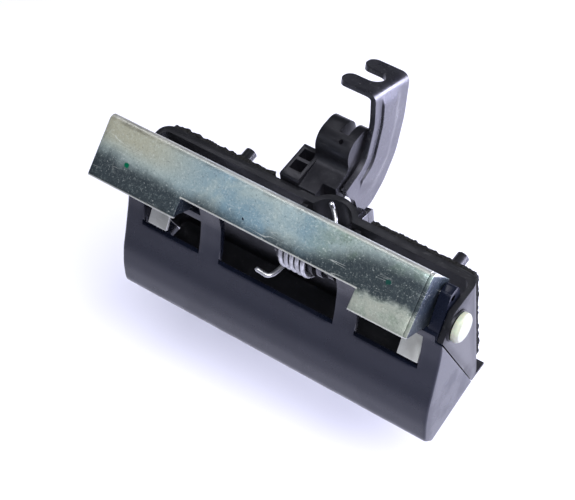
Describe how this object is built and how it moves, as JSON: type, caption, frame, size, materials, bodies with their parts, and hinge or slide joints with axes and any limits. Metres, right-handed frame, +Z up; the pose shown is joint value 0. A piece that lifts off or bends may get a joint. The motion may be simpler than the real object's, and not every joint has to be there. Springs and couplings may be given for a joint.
{
  "type": "tailgate handle",
  "caption": "Pull handle for a tailgate: a hinged plastic paddle in an open tray housing, a folded steel balance weight, a sprung release lever with a forked end, and a cable clip.",
  "frame": {"origin": "on the seal's back face, in the middle of its lower run, 50 mm below the pivot axis", "axes": "+X along the handle towards its right end seen from outside, +Y into the tailgate, +Z up"},
  "size_m": [0.1911, 0.1148, 0.1142],
  "materials": {
    "housing_plastic": "moulded, fine grain",
    "paddle_plastic": "smooth",
    "foam": "closed-cell foam",
    "zinc_steel": "zinc plated, mottled",
    "coated_steel": "thin black coating",
    "spring_wire": "bright drawn wire",
    "nylon": "natural nylon",
    "plain_steel": "plain"
  },
  "bodies": {
    "base": {"housing": "housing_plastic", "seal": "foam", "end_pin_left": "nylon", "end_pin_right": "nylon", "centre_shaft": "plain_steel", "shaft_clip_left": "plain_steel", "shaft_clip_right": "plain_steel", "spring_sleeve": "housing_plastic", "return_spring": "spring_wire", "cable_clip": "housing_plastic"},
    "handle": {"paddle": "paddle_plastic", "balance_weight": "zinc_steel", "weight_rivet_left": "plain_steel", "weight_rivet_right": "plain_steel"},
    "lever": {"release_lever": "coated_steel", "lever_bush": "nylon"}
  },
  "joints": [
    {"name": "handle_hinge", "type": "hinge", "parent": "base", "child": "handle", "pos_m": [0, -0.0242, 0.05], "axis": [-1, 0, 0], "range_deg": [0, 28], "stiffness_Nm_per_rad": 0.3, "springref_deg": -34.38},
    {"name": "lever_hinge", "type": "hinge", "parent": "base", "child": "lever", "pos_m": [0, -0.0242, 0.05], "axis": [-1, 0, 0], "range_deg": [0, 28]}
  ],
  "couplings": [
    {"joint": "lever_hinge", "follows": "handle_hinge", "ratio": 1}
  ]
}
